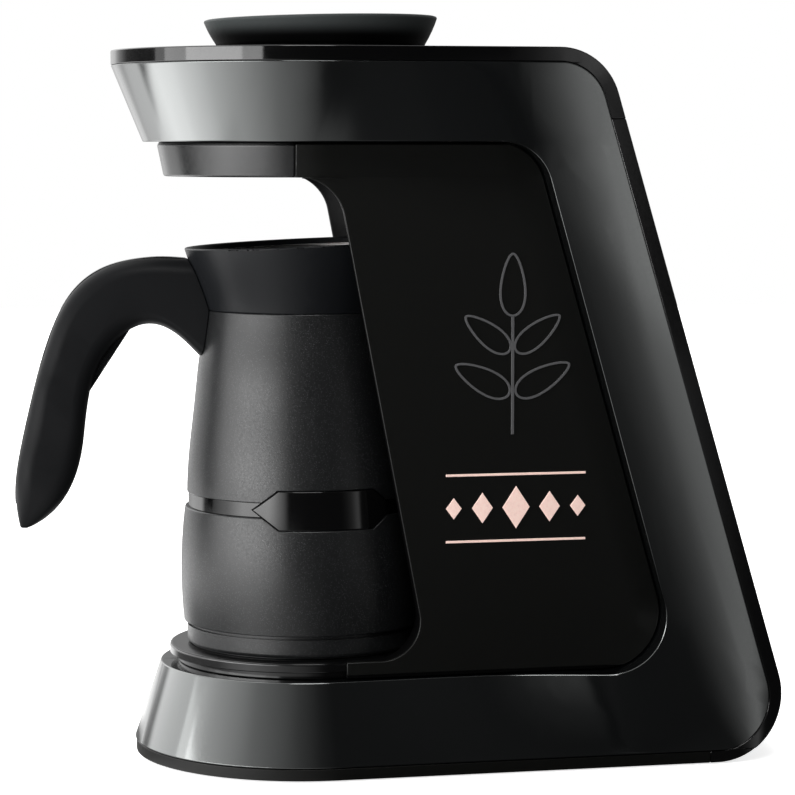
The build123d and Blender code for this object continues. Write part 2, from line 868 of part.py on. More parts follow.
def upper_shell():
    return ring_between(upper_points, inset_points(upper_points, jug_wall)) - plaque_zone()


def rim_collar():
    """Flared collar above the neck crease, cut on a slope."""
    shell = ring_between(collar_points, inset_points(collar_points, jug_wall))
    return shell - rim_cutter() - screw_bore(*low_screw) - screw_bore(*high_screw)


def plaque_outline(grow=0.0):
    half, high = plaque_half_w + grow, plaque_half_h + grow
    middle = (belt_bottom_h + belt_top_h) / 2
    face = side_face(
        (-half, middle), (plaque_tip - half, middle + high), (half - plaque_tip, middle + high),
        (half, middle), (half - plaque_tip, middle - high), (plaque_tip - half, middle - high),
    )
    return Rot(0, 0, plaque_turn) * extrude(face, 2 * jug_max_r)


def on_both_flanks(shape):
    return [shape, shape.mirror(Plane.YZ)]


def plaque_zone():
    """Room for the two plaques, one on each side of the belt."""
    one, other = on_both_flanks(plaque_outline(plaque_fit))
    return one + other - rod(plaque_seat_r, 0, rim_h)


def jug_plaques():
    ring = tube(belt_low_r, plaque_seat_r, belt_bottom_h - plaque_half_w, belt_top_h + plaque_half_w)
    return Compound(on_both_flanks(ring & plaque_outline()))


def jug_belt():
    return tube(belt_r, belt_r - belt_t, belt_bottom_h, belt_top_h) - plaque_zone()


pot_points = (
    (pot_floor_r, pot_floor_h), (belt_r - belt_t - pot_belt_gap, belt_bottom_h),
    (shoulder_r - pot_inset, shoulder_h), (throat_r - pot_inset, throat_h), (neck_r - pot_inset, neck_h),
    (flare_high_r - pot_inset, flare_high_h), (rim_r - pot_inset, rim_form_h),
)


def inner_pot():
    """Thin stainless pot, from a flat floor up to just under the rim."""
    pot = ring_between(pot_points, inset_points(pot_points, pot_wall))
    pot += rod(pot_floor_r, pot_floor_h, pot_floor_h + pot_wall)
    return pot - Pos(0, 0, -pot_rim_drop) * rim_cutter()


def heater_zone(grow=0.0):
    half = heater_ring_w / 2 + grow
    low = heater_low_h + heater_groove - heater_ring_h
    return tube(heater_ring_r + half, heater_ring_r - half, low, heater_low_h + heater_groove)


def heater_plate():
    return rod(heater_r, heater_low_h, pot_floor_h) - heater_zone(slot_fit)


def heater_element():
    """Ring element pressed into the groove under the heater plate."""
    return heater_zone() - block(-heater_ring_gap, heater_ring_gap, 0, heater_r, 0, rim_h)


def thermostat():
    low = heater_low_h - thermostat_h
    can = rod(thermostat_r, low, heater_low_h, x=thermostat_x)
    x, w = thermostat_x, tab_half_w
    return can + block(x - w, x + w, -w, w, low - tab_t, low)


def pot_seal():
    out_r = jug_foot_r - jug_wall + seal_fit
    return tube(out_r, pot_floor_r + seal_fit, pot_floor_h - seal_low, pot_floor_h + seal_high)


def jug_socket():
    """Female half of the turning connector, free to turn in the jug's foot."""
    ceiling = connector_h + socket_head
    flange_h = jug_stand + jug_wall + slot_fit
    body = rod(socket_r, jug_stand, ceiling + socket_roof)
    body += rod(socket_r + socket_flange, flange_h, flange_h + socket_roof)
    return body - rod(connector_r + socket_fit, 0, ceiling)


def socket_contacts():
    """Blades that run in the connector's ring slots."""
    low, high = connector_h - blade_dip, connector_h + socket_head
    w, t = blade_half_w, blade_half_t
    return Compound([block(-w, w, r - t, r + t, low, high) for r in ring_radii])


def foot_cover():
    """Foot ring, groove and the floor round the socket, with the heater's seat."""
    floor_h = jug_stand + jug_wall
    seat_r = heater_r - jug_wall / 2
    cover = rod(foot_r, jug_stand, foot_top_h)
    cover = fillet(cover.edges().filter_by(GeomType.CIRCLE).sort_by(Axis.Z)[0], foot_edge_r)
    cover -= rod(foot_r - jug_wall, 0, foot_top_h)
    cover += tube(groove_r, groove_r - jug_wall, jug_stand, groove_top_h + shell_floor_t)
    cover += tube(foot_r - jug_wall / 2, socket_r + socket_fit, jug_stand, floor_h)
    return cover + tube(seat_r, seat_r - jug_wall, jug_stand, heater_low_h)


# ---- handle ----------------------------------------------------------------------

def screw_bore(seat_y, h):
    bore = along_y(handle_screw_r + screw_fit, seat_y - handle_screw_len, 0, h)
    return bore + along_y(handle_head_r + screw_fit, seat_y, 0, h)


def handle_screws():
    screws = []
    for seat_y, h in (low_screw, high_screw):
        head = along_y(handle_head_r, seat_y, seat_y + handle_head_t, h)
        shank = along_y(handle_screw_r, seat_y - handle_screw_len + post_root, seat_y, h)
        screws.append(head + shank)
    return Compound(screws)


# the grip's two curves, as shares of the handle's reach and of its length down
outer_shares = (
    (0.270, 0.002), (0.450, 0.000), (0.612, 0.008), (0.764, 0.083), (0.886, 0.306), (0.968, 0.638),
    (1.000, 0.920), (0.986, 1.000),
)
inner_shares = (
    (0.270, 0.487), (0.365, 0.360), (0.545, 0.243), (0.695, 0.361), (0.758, 0.586), (0.801, 0.823),
    (0.891, 0.958), (0.963, 1.001),
)


def grip_curve(shares):
    points = [(0, -reach * handle_reach, handle_top_h - down * handle_len) for reach, down in shares]
    return Spline(*points)


grip_outer = grip_curve(outer_shares)
grip_inner = grip_curve(inner_shares)
grip_stations = (0.0, 0.1, 0.2, 0.3, 0.4, 0.5, 0.6, 0.7, 0.8, 0.88, 0.94, 0.98, 1.0)


def grip_section(share, width):
    """Rounded section of the grip between its outer and inner curves."""
    outer, inner = grip_outer @ share, grip_inner @ share
    across = outer - inner
    high = across.length
    plane = Plane((outer + inner) * 0.5, x_dir=(1, 0, 0), z_dir=Vector(1, 0, 0).cross(across))
    return plane * RectangleRounded(width, high, min(handle_edge_r, 0.45 * high, 0.45 * width))


def grip_width(share):
    """Full width down to the last tenth, which narrows to a rounded tip."""
    return handle_w * (1.0 if share < 0.9 else 1.0 - 4.2 * (share - 0.9))


def jug_form(grow=0.0):
    """Solid of the jug's outside above the belt, larger by grow."""
    points = inset_points(upper_points, -grow)
    collar = inset_points(collar_points, -grow)
    body = Spline(*on_xz(points))
    neck = Spline(*on_xz(collar))
    base = Line((0, 0, belt_top_h), body @ 0)
    top = (0, 0, rim_form_h)
    return turned(base, body, neck, Line(neck @ 1, top), Line(top, (0, 0, belt_top_h)))


def handle_blank():
    return loft([grip_section(share, grip_width(share)) for share in grip_stations])


def handle_strip():
    """Thin gloss strip let into the grip's outer edge."""
    sections = []
    for share in grip_stations[1:-2]:
        outer, inner = grip_outer @ share, grip_inner @ share
        across = (outer - inner).normalized()
        centre = outer + across * (strip_proud - strip_t / 2)
        plane = Plane(centre, x_dir=(1, 0, 0), z_dir=Vector(1, 0, 0).cross(across))
        sections.append(plane * Rectangle(strip_w, strip_t))
    return loft(sections)


def handle_grip(strip):
    return handle_blank() - jug_form(handle_fit) - strip - screw_bore(*low_screw) - screw_bore(*high_screw)


# ---- all nodes --------------------------------------------------------------------

cover = c_cover()
panels = side_panels()
strip = handle_strip()

machine_nodes = {
    "top_cover": top_cover(),
    "back_cover": back_cover(),
    "base_plate": base_plate(),
    "side_cover_right": right_half(cover),
    "side_cover_left": left_half(cover),
    "side_panel_right": right_half(panels),
    "side_panel_left": left_half(panels),
    "bay_liner": bay_liner(),
    "sensor_housing": sensor_housing(),
    "jug_platform": jug_platform(),
    "base_connector": base_connector(),
    "contact_rings": contact_rings(),
    "contact_pin": contact_pin(),
    "light_ring": light_ring(),
    "button_guide": button_guide(),
    "button_board": button_board(),
    "tact_switch": tact_switch(),
    "buzzer": buzzer(),
    "sensor_lens": sensor_lens(),
    "sensor_board": sensor_board(),
    "main_board": main_board(),
    "board_rails": board_rails(),
    "power_board": power_board(),
    "inlet_grommet": inlet_grommet(),
    "cable_clamp": cable_clamp(),
    "rubber_feet": rubber_feet(),
    "base_screws": base_screws(),
    "button_cap": button_cap(),
    "button_stem": button_stem(),
    "button_spring": button_spring(),
}

jug_nodes = {
    "jug_socket": jug_socket(),
    "socket_contacts": socket_contacts(),
    "rim_collar": rim_collar(),
    "upper_shell": upper_shell(),
    "lower_shell": lower_shell(),
    "jug_belt": jug_belt(),
    "jug_plaques": jug_plaques(),
    "foot_cover": foot_cover(),
    "inner_pot": inner_pot(),
    "heater_plate": heater_plate(),
    "heater_element": heater_element(),
    "thermostat": thermostat(),
    "pot_seal": pot_seal(),
    "handle_grip": handle_grip(strip),
    "handle_strip": strip,
    "handle_screws": handle_screws(),
}

nodes = dict(machine_nodes)
for name, shape in jug_nodes.items():
    nodes[name] = Pos(0, 0, platform_top_z) * shape

boxes = [shape.bounding_box() for shape in nodes.values()]
middle_y = (min(box.min.Y for box in boxes) + max(box.max.Y for box in boxes)) / 2
print("jug axis at y =", -middle_y)

for name, shape in nodes.items():
    export_step(Pos(0, -middle_y, 0) * shape, f"parts/{name}.step")
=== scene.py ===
"""Looks of a C-shaped electric Turkish coffee maker with a lift-off jug.

Lengths are in metres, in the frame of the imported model: -Y is the handle side,
+Z up, and the origin lies on the table in the middle of the footprint.
"""

import json
from math import cos, pi, radians, sin, tan

import bmesh
import bpy
from mathutils import Matrix, Vector
from mathutils.bvhtree import BVHTree
from mathutils.interpolate import poly_3d_calc


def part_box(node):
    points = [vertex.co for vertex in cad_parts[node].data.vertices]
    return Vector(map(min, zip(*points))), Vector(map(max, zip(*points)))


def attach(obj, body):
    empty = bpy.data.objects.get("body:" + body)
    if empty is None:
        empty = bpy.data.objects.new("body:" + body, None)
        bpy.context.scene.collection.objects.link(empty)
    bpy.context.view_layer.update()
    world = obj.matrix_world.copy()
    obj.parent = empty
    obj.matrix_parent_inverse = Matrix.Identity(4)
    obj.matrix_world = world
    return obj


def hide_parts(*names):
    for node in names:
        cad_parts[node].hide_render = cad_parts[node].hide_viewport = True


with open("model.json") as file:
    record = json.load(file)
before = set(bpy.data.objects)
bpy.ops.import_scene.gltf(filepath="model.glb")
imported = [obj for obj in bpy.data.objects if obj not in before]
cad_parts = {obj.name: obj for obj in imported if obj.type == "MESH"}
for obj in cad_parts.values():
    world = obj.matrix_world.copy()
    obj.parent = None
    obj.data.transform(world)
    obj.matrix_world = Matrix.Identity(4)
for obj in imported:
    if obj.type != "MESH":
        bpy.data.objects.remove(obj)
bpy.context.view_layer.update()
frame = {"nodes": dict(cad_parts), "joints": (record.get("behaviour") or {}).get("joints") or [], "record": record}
nodes = frame["nodes"]
joints = {joint["name"]: joint for joint in frame["joints"]}

MM = 0.001
JUG_Y = joints["jug_turn"]["pos_m"][1]          # the jug's axis
SIDE_TAPER = radians(7.5)                       # the sides close towards the back
PANEL_R = 53.9 * MM                             # the side panels touch this circle about the jug's axis


# ---- stage: camera, lights, floor, backdrop ---------------------------------------

CAMERA_PLACE = Vector((1.1031, JUG_Y - 0.0566, 0.2350))
CAMERA_TURN = radians(4.8)                      # the view's heading, off the -X direction
CAMERA_PITCH = radians(5.076)
FRAME_PX = 795
FOCAL_PX = 2862.0
SENSOR_MM = 36.0


def add_camera():
    data = bpy.data.cameras.new("camera")
    data.sensor_width = SENSOR_MM
    data.lens = FOCAL_PX / FRAME_PX * SENSOR_MM
    data.clip_start = 0.05
    camera = bpy.data.objects.new("camera", data)
    bpy.context.scene.collection.objects.link(camera)
    heading = Vector((-cos(CAMERA_TURN), sin(CAMERA_TURN), 0.0))
    forward = heading * cos(CAMERA_PITCH) - Vector((0, 0, sin(CAMERA_PITCH)))
    turn = forward.to_track_quat("-Z", "Y").to_matrix().to_4x4()
    camera.matrix_world = Matrix.Translation(CAMERA_PLACE) @ turn
    bpy.context.scene.camera = camera


def add_lamp(name, place, target, width, height, radiance):
    """A soft rectangular lamp of an even brightness, unseen by the camera."""
    data = bpy.data.lights.new(name, "AREA")
    data.shape = "RECTANGLE"
    data.size = width
    data.size_y = height
    data.energy = radiance * pi * width * height
    lamp = bpy.data.objects.new(name, data)
    bpy.context.scene.collection.objects.link(lamp)
    facing = (Vector(target) - Vector(place)).to_track_quat("-Z", "Y")
    lamp.matrix_world = Matrix.Translation(place) @ facing.to_matrix().to_4x4()
    lamp.visible_camera = False


WALL_LAMP_REACH = 1.2                           # from the jug's axis
WALL_LAMP_TALL = 0.33
WALL_LAMPS = (
    # name, first and last bearing (degrees from +X towards -Y), brightness
    ("strip_edge", 26, 38, 5.5),
    ("strip_near", 38, 74, 9.5),
    ("strip_far", 74, 90, 5.0),
    ("strip_end", 90, 98, 1.8),
)


def add_wall_lamp(name, start, end, radiance):
    """A lamp that stands upright on the table and faces the jug's axis."""
    angle = radians((start + end) / 2)
    middle = WALL_LAMP_TALL / 2
    place = (WALL_LAMP_REACH * cos(angle), JUG_Y - WALL_LAMP_REACH * sin(angle), middle)
    width = 2 * WALL_LAMP_REACH * tan(radians(end - start) / 2)
    add_lamp(name, place, (0.0, JUG_Y, middle), width, WALL_LAMP_TALL, radiance)


HIGH_LAMPS = (
    # name, place, the spot it faces, width, height, brightness
    ("top_lamp", (-0.05, -0.05, 1.15), (0.0, 0.0, 0.14), 0.80, 0.80, 0.9),
    ("high_front_lamp", (0.78, JUG_Y, 1.10), (0.05, 0.0, 0.14), 0.50, 0.50, 9.0),
)


def add_lights():
    for wall_lamp in WALL_LAMPS:
        add_wall_lamp(*wall_lamp)
    for high_lamp in HIGH_LAMPS:
        add_lamp(*high_lamp)


def ramp_of(tree, stops):
    """A colour ramp with a grey level at each place."""
    ramp = tree.nodes.new("ShaderNodeValToRGB")
    elements = ramp.color_ramp.elements
    while len(elements) < len(stops):
        elements.new(0.5)
    for element, (place, level) in zip(elements, sorted(stops)):
        element.position = place
        element.color = (level, level, level, 1)
    return ramp


def maths(tree, operation, first, second):
    """A sum on two values; each is a socket or a number."""
    node = tree.nodes.new("ShaderNodeMath")
    node.operation = operation
    for socket, value in zip(node.inputs, (first, second)):
        if isinstance(value, (int, float)):
            socket.default_value = value
        else:
            tree.links.new(value, socket)
    return node.outputs[0]


def blend_of(tree, share, first, second):
    """The first colour at share 0 and the second at 1; each is a socket or a colour."""
    node = tree.nodes.new("ShaderNodeMix")
    node.data_type = "RGBA"
    for socket, value in ((node.inputs[0], share), (node.inputs[6], first), (node.inputs[7], second)):
        if isinstance(value, tuple):
            socket.default_value = value
        else:
            tree.links.new(value, socket)
    return node.outputs[2]


def step_of(tree, source, start, end):
    """0 below start, 1 above end, and smooth between."""
    node = tree.nodes.new("ShaderNodeMapRange")
    node.interpolation_type = "SMOOTHSTEP"
    node.inputs[1].default_value = start
    node.inputs[2].default_value = end
    tree.links.new(source, node.inputs[0])
    return node.outputs[0]


def levels_round(tree, source, centre, levels):
    """Brightness by bearing about centre; bearings in degrees from +X towards -Y."""
    split = tree.nodes.new("ShaderNodeSeparateXYZ")
    tree.links.new(source, split.inputs[0])
    right = maths(tree, "SUBTRACT", split.outputs["X"], centre[0])
    front = maths(tree, "SUBTRACT", centre[1], split.outputs["Y"])
    turn = maths(tree, "ARCTAN2", front, right)
    share = maths(tree, "ADD", maths(tree, "DIVIDE", turn, 2 * pi), 0.5)
    ramp = ramp_of(tree, [((bearing + 180) / 360, level) for bearing, level in levels])
    tree.links.new(share, ramp.inputs[0])
    return ramp.outputs["Color"]


# Pairs of a bearing in degrees and the brightness there, for the sky, the horizon and the table.
SKY_LEVELS = (
    (-180, 0.45), (-120, 0.45), (-60, 0.35), (-40, 0.06), (-20, 0.03), (-8, 0.07), (8, 0.23), (19, 0.42),
    (41, 0.75), (52, 1.15), (73, 1.75), (85, 2.3), (103, 2.7), (132, 3.0), (148, 2.7), (160, 1.8),
    (170, 0.8), (180, 0.45),
)
HORIZON_LEVELS = (
    (-180, 0.45), (-120, 0.45), (-66, 0.40), (-60, 0.04), (-41.6, 0.04), (-40.6, 1.55), (-38, 1.25),
    (-35, 0.85), (-31, 0.42), (-27, 0.17), (-22, 0.02), (20, 0.02), (100, 0.10), (116, 0.06), (132, 0.15),
    (146, 0.9), (155, 1.5), (166, 1.1), (180, 0.45),
)
TABLE_INNER = (
    (-180, 0.20), (-60, 0.02), (-13, 0.02), (-9, 0.06), (-5, 0.22), (3, 0.47), (20, 0.84), (32, 1.3),
    (47, 1.9), (60, 1.4), (75, 0.4), (128, 0.3), (138, 1.6), (143, 2.1), (155, 1.6), (180, 0.20),
)
TABLE_NEAR = (
    (-180, 0.20), (-60, 0.02), (2, 0.03), (12, 0.30), (20, 0.80), (32, 1.3), (47, 2.0), (62, 2.7),
    (70, 3.4), (83, 4.2), (91, 4.9), (105, 5.1), (119, 3.6), (143, 2.3), (155, 1.5), (180, 0.20),
)
TABLE_FAR = (
    (-180, 0.20), (-60, 0.02), (18, 0.02), (30, 4.0), (36, 6.0), (65, 5.5), (82, 2.1), (104, 0.3),
    (116, 0.1), (123, 2.4), (143, 1.5), (155, 0.8), (180, 0.20),
)
TABLE_OUTER = (
    (-180, 0.20), (-60, 0.02), (18, 0.02), (30, 4.0), (36, 6.0), (65, 5.5), (82, 2.1), (104, 0.25),
    (116, 0.1), (123, 1.4), (143, 1.1), (152, 1.6), (162, 1.4), (172, 0.6), (180, 0.20),
)
TABLE_REAR = (
    (-180, 0), (-42.6, 0), (-41.4, 0.9), (-39, 0.8), (-33, 0.25), (-27, 0.08), (-23, 0.02), (-20, 0),
    (180, 0),
)
REAR_POST = (0.044, 0.134)                      # the rear levels are bearings about this spot
SKY_BLEND = (radians(2), radians(4.5))          # the sky takes over between these elevations
NEAR_BLEND = (0.35, 0.40)                       # the near ring takes over from the inner one here
FAR_BLEND = (0.66, 0.76)
OUTER_BLEND = (1.05, 1.35)
FLOOR_HALF = 3.0
FLOOR_CELLS = 24
SEEN_WHITE = 0.75                               # the floor's glow to the camera, under the machine
SEEN_WHITE_BLEND = (0.12, 0.55)                 # it rises to 1 between these distances
SEEN_PAINT = (0.80, 0.80, 0.80, 1)
UNSEEN_PAINT = (0.01, 0.01, 0.01, 1)


def add_world():
    """White to the camera; to the object a soft surround that is dark on the camera's side."""
    world = bpy.data.worlds.new("studio")
    bpy.context.scene.world = world
    world.use_nodes = True
    tree = world.node_tree
    tree.nodes.clear()
    output = tree.nodes.new("ShaderNodeOutputWorld")
    background = tree.nodes.new("ShaderNodeBackground")
    direction = tree.nodes.new("ShaderNodeTexCoord").outputs["Generated"]
    split = tree.nodes.new("ShaderNodeSeparateXYZ")
    tree.links.new(direction, split.inputs[0])
    raised = step_of(tree, split.outputs["Z"], sin(SKY_BLEND[0]), sin(SKY_BLEND[1]))
    low = levels_round(tree, direction, (0, 0), HORIZON_LEVELS)
    high = levels_round(tree, direction, (0, 0), SKY_LEVELS)
    path = tree.nodes.new("ShaderNodeLightPath")
    surround = blend_of(tree, raised, low, high)
    colour = blend_of(tree, path.outputs["Is Camera Ray"], surround, (1, 1, 1, 1))
    tree.links.new(colour, background.inputs["Color"])
    tree.links.new(background.outputs[0], output.inputs["Surface"])


def add_floor():
    """White to the camera, with a soft shadow; to the object a table lit beside the handle."""
    bm = bmesh.new()
    bmesh.ops.create_grid(bm, x_segments=FLOOR_CELLS, y_segments=FLOOR_CELLS, size=FLOOR_HALF)
    mesh = bpy.data.meshes.new("floor")
    bm.to_mesh(mesh)
    bm.free()
    floor = bpy.data.objects.new("floor", mesh)
    bpy.context.scene.collection.objects.link(floor)
    material = principled("floor_paint", SEEN_PAINT[:3], 0.9, Emission_Strength=1.0, Specular_IOR_Level=0.0)
    tree = material.node_tree
    shader = tree.nodes["Principled BSDF"]
    camera_sees = tree.nodes.new("ShaderNodeLightPath").outputs["Is Camera Ray"]
    place = tree.nodes.new("ShaderNodeTexCoord").outputs["Object"]
    away = tree.nodes.new("ShaderNodeVectorMath")
    away.operation = "LENGTH"
    tree.links.new(place, away.inputs[0])
    distance = away.outputs["Value"]
    inner = levels_round(tree, place, (0, JUG_Y), TABLE_INNER)
    near = levels_round(tree, place, (0, JUG_Y), TABLE_NEAR)
    far = levels_round(tree, place, (0, JUG_Y), TABLE_FAR)
    outer = levels_round(tree, place, (0, JUG_Y), TABLE_OUTER)
    table = blend_of(tree, step_of(tree, distance, *NEAR_BLEND), inner, near)
    table = blend_of(tree, step_of(tree, distance, *FAR_BLEND), table, far)
    table = blend_of(tree, step_of(tree, distance, *OUTER_BLEND), table, outer)
    rear = levels_round(tree, place, REAR_POST, TABLE_REAR)
    lit = maths(tree, "ADD", table, rear)
    white = ramp_of(tree, ((0.0, SEEN_WHITE), (1.0, 1.0)))
    tree.links.new(step_of(tree, distance, *SEEN_WHITE_BLEND), white.inputs[0])
    glow = blend_of(tree, camera_sees, lit, white.outputs["Color"])
    paint = blend_of(tree, camera_sees, UNSEEN_PAINT, SEEN_PAINT)
    tree.links.new(glow, shader.inputs["Emission Color"])
    tree.links.new(paint, shader.inputs["Base Color"])
    mesh.materials.append(material)


# ---- finishes ------------------------------------------------------------------------

def principled(name, colour, roughness, **sockets):
    material = bpy.data.materials.new(name)
    material.use_nodes = True
    shader = material.node_tree.nodes["Principled BSDF"]
    shader.inputs["Base Color"].default_value = (*colour, 1)
    shader.inputs["Roughness"].default_value = roughness
    for socket, value in sockets.items():
        shader.inputs[socket.replace("_", " ")].default_value = value
    return material


def noise(material, per_metre, detail):
    tree = material.node_tree
    place = tree.nodes.new("ShaderNodeTexCoord")
    texture = tree.nodes.new("ShaderNodeTexNoise")
    texture.inputs["Scale"].default_value = per_metre
    texture.inputs["Detail"].default_value = detail
    tree.links.new(place.outputs["Object"], texture.inputs["Vector"])
    return texture.outputs[0]


PATTERN_RANGE = (0.3, 0.7)                      # where most of a noise pattern's values lie


def spread(material, source, to_low, to_high):
    """A pattern's values turned into to_low..to_high."""
    span = material.node_tree.nodes.new("ShaderNodeMapRange")
    span.inputs[1].default_value, span.inputs[2].default_value = PATTERN_RANGE
    span.inputs[3].default_value = to_low
    span.inputs[4].default_value = to_high
    material.node_tree.links.new(source, span.inputs[0])
    return span.outputs[0]


def drive(material, socket, source):
    shader = material.node_tree.nodes["Principled BSDF"]
    material.node_tree.links.new(source, shader.inputs[socket])


def tint(material, source, dark, light):
    """Base colour between two colours, by a pattern."""
    ramp = material.node_tree.nodes.new("ShaderNodeValToRGB")
    ramp.color_ramp.elements[0].color = (*dark, 1)
    ramp.color_ramp.elements[1].color = (*light, 1)
    material.node_tree.links.new(source, ramp.inputs[0])
    drive(material, "Base Color", ramp.outputs[0])
    return ramp


def grain(material, source, strength, depth):
    """Bump from a pattern; depth in metres."""
    tree = material.node_tree
    bump = tree.nodes.new("ShaderNodeBump")
    bump.inputs["Strength"].default_value = strength
    bump.inputs["Distance"].default_value = depth
    tree.links.new(source, bump.inputs["Height"])
    tree.links.new(bump.outputs[0], tree.nodes["Principled BSDF"].inputs["Normal"])


GLOSS_TINT = (0.970, 1.0, 0.990, 1)             # the covers' sheen is faintly green


def moulded_gloss(name, colour, roughness, ior, **sockets):
    """Polished moulding: deep and even, with a faint fine mottle in its sheen."""
    material = principled(name, colour, roughness, IOR=ior, **sockets)
    fine = noise(material, 900.0, 3.0)
    drive(material, "Roughness", spread(material, fine, roughness - 0.012, roughness + 0.012))
    lighter = tuple(channel * 1.2 for channel in colour)
    tint(material, noise(material, 1500.0, 1.0), colour, lighter)
    return material


def moulded_satin(name, colour, roughness, per_metre=2600.0, depth=0.00003, ior=1.5):
    """Spark-eroded satin moulding with a fine even grain."""
    material = principled(name, colour, roughness, IOR=ior)
    fine = noise(material, per_metre, 2.0)
    lighter = tuple(channel * 1.35 + 0.0006 for channel in colour)
    tint(material, fine, colour, lighter)
    patches = noise(material, 700.0, 3.0)
    drive(material, "Roughness", spread(material, patches, roughness - 0.03, roughness + 0.03))
    grain(material, fine, 0.30, depth)
    return material


GLITTER = (0.085, 0.088, 0.092)
GLITTER_PER_METRE = 1900.0
GLITTER_EDGE = (0.09, 0.22)                     # a flake fades out between these distances, in cells


def jug_coating():
    """Matte black powder coating with fine glitter in it."""
    coat = (0.0052, 0.0055, 0.0058)
    material = principled("jug_coating", coat, 0.34, IOR=1.41)
    tree = material.node_tree
    cells = tree.nodes.new("ShaderNodeTexVoronoi")
    cells.inputs["Scale"].default_value = GLITTER_PER_METRE
    place = tree.nodes.new("ShaderNodeTexCoord")
    tree.links.new(place.outputs["Object"], cells.inputs["Vector"])
    ramp = tint(material, cells.outputs["Distance"], GLITTER, coat)
    for element, edge in zip(ramp.color_ramp.elements, GLITTER_EDGE):
        element.position = edge
    drive(material, "Roughness", spread(material, noise(material, 1200.0, 2.0), 0.29, 0.39))
    grain(material, noise(material, 1500.0, 2.0), 0.45, 0.00005)
    return material


def ringed_steel():
    """Drawn stainless steel with fine rings round the pot."""
    material = principled("pot_steel", (0.62, 0.61, 0.60), 0.28, Metallic=1.0)
    tree = material.node_tree
    place = tree.nodes.new("ShaderNodeTexCoord")
    stretch = tree.nodes.new("ShaderNodeMapping")
    stretch.inputs["Scale"].default_value = (20.0, 20.0, 2500.0)
    texture = tree.nodes.new("ShaderNodeTexNoise")
    texture.inputs["Scale"].default_value = 1.0
    tree.links.new(place.outputs["Object"], stretch.inputs["Vector"])
    tree.links.new(stretch.outputs[0], texture.inputs["Vector"])
    drive(material, "Roughness", spread(material, texture.outputs[0], 0.20, 0.38))
    grain(material, texture.outputs[0], 0.15, 0.00002)
    return material


def plain_metal(name, colour, roughness):
    material = principled(name, colour, roughness, Metallic=1.0)
    patches = noise(material, 300.0, 3.0)
    drive(material, "Roughness", spread(material, patches, roughness - 0.06, roughness + 0.08))
    return material


def button_paint_with_painted_shade(full_shade_z, shade_free_z):
    """Slate satin above, with painted shade that darkens it to black towards the foot."""
    black, slate = (0.0012, 0.0012, 0.0013), (0.036, 0.040, 0.040)
    material = moulded_satin("button_satin_with_painted_shade", slate, 0.48, ior=1.15)
    tree = material.node_tree
    split = tree.nodes.new("ShaderNodeSeparateXYZ")
    place = tree.nodes.new("ShaderNodeTexCoord")
    tree.links.new(place.outputs["Object"], split.inputs[0])
    shader = tree.nodes["Principled BSDF"]
    grained = shader.inputs["Base Color"].links[0].from_socket
    # painted shade: the slate is blended to black low on the cap, standing in for the shadow on its drawn-in sides
    raised = step_of(tree, split.outputs["Z"], full_shade_z, shade_free_z)
    drive(material, "Base Color", blend_of(tree, raised, (*black, 1), grained))
    return material


def finishes():
    low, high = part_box("button_cap")
    tall = high.z - low.z
    return {
        "gloss_black": moulded_gloss(
            "cover_gloss", (0.0012, 0.0014, 0.0016), 0.11, 2.1, Specular_Tint=GLOSS_TINT,
        ),
        "ribbon": moulded_gloss("ribbon_gloss", (0.0012, 0.0012, 0.0013), 0.08, 1.5),
        "liner": moulded_satin("liner_satin", (0.0012, 0.0012, 0.0013), 0.40, ior=1.15),
        "platform": moulded_gloss("platform_gloss", (0.0014, 0.0014, 0.0015), 0.12, 1.5),
        "satin_black": moulded_satin("panel_satin", (0.0020, 0.0021, 0.0018), 0.40, ior=1.3),
        "drum_black": moulded_satin("drum_satin", (0.0026, 0.0028, 0.0030), 0.24, depth=0.000008, ior=1.5),
        "jug_matte": jug_coating(),
        "collar": moulded_satin("collar_satin", (0.0036, 0.0040, 0.0047), 0.38, 1800.0, ior=1.24),
        # the start button's finish holds painted shade, darker towards its foot
        "button_grey": button_paint_with_painted_shade(low.z + 0.25 * tall, low.z + 0.72 * tall),
        "grip_matte": moulded_satin("grip_satin", (0.0052, 0.0054, 0.0058), 0.42, 1800.0, 0.00006, ior=1.14),
        "steel": ringed_steel(),
        "aluminium": plain_metal("heater_aluminium", (0.72, 0.72, 0.73), 0.45),
        "brass": plain_metal("contact_brass", (0.78, 0.62, 0.33), 0.30),
        "rose_gold": moulded_satin("rose_gold_foil", (0.86, 0.62, 0.55), 0.35, 900.0, 0.00001, ior=1.6),
        "motif": moulded_satin("motif_grey", (0.060, 0.060, 0.062), 0.40),
        "rubber": moulded_satin("foot_rubber", (0.020, 0.020, 0.020), 0.80),
        "board_green": moulded_satin("board_lacquer", (0.030, 0.16, 0.07), 0.35),
        "inner_grey": moulded_satin("inner_moulding", (0.22, 0.22, 0.23), 0.55),
        "lens": moulded_gloss("sensor_window", (0.10, 0.006, 0.005), 0.08, 1.5),
        "light": moulded_satin("light_guide", (0.40, 0.42, 0.43), 0.40),
    }


# ---- pieces ----------------------------------------------------------------------------

def dress_cad_nodes(finish):
    """Every CAD node gets the finish that the record names for it."""
    for part in frame["record"]["subparts"]:
        mesh = nodes[part["node"]].data
        mesh.materials.clear()
        mesh.materials.append(finish[part["material_slot"]])


def body_of(node):
    groups = frame["record"]["behaviour"]["bodies"]
    return next(body for body, members in groups.items() if node in members)


def add_piece(name, bm, material, body):
    """Puts a finished bmesh in the scene on its body."""
    mesh = bpy.data.meshes.new(name)
    bm.to_mesh(mesh)
    bm.free()
    if mesh.attributes.get("custom_normal"):
        mesh.attributes.remove(mesh.attributes["custom_normal"])
    mesh.materials.append(material)
    piece = bpy.data.objects.new(name, mesh)
    bpy.context.scene.collection.objects.link(piece)
    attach(piece, body)
    return piece


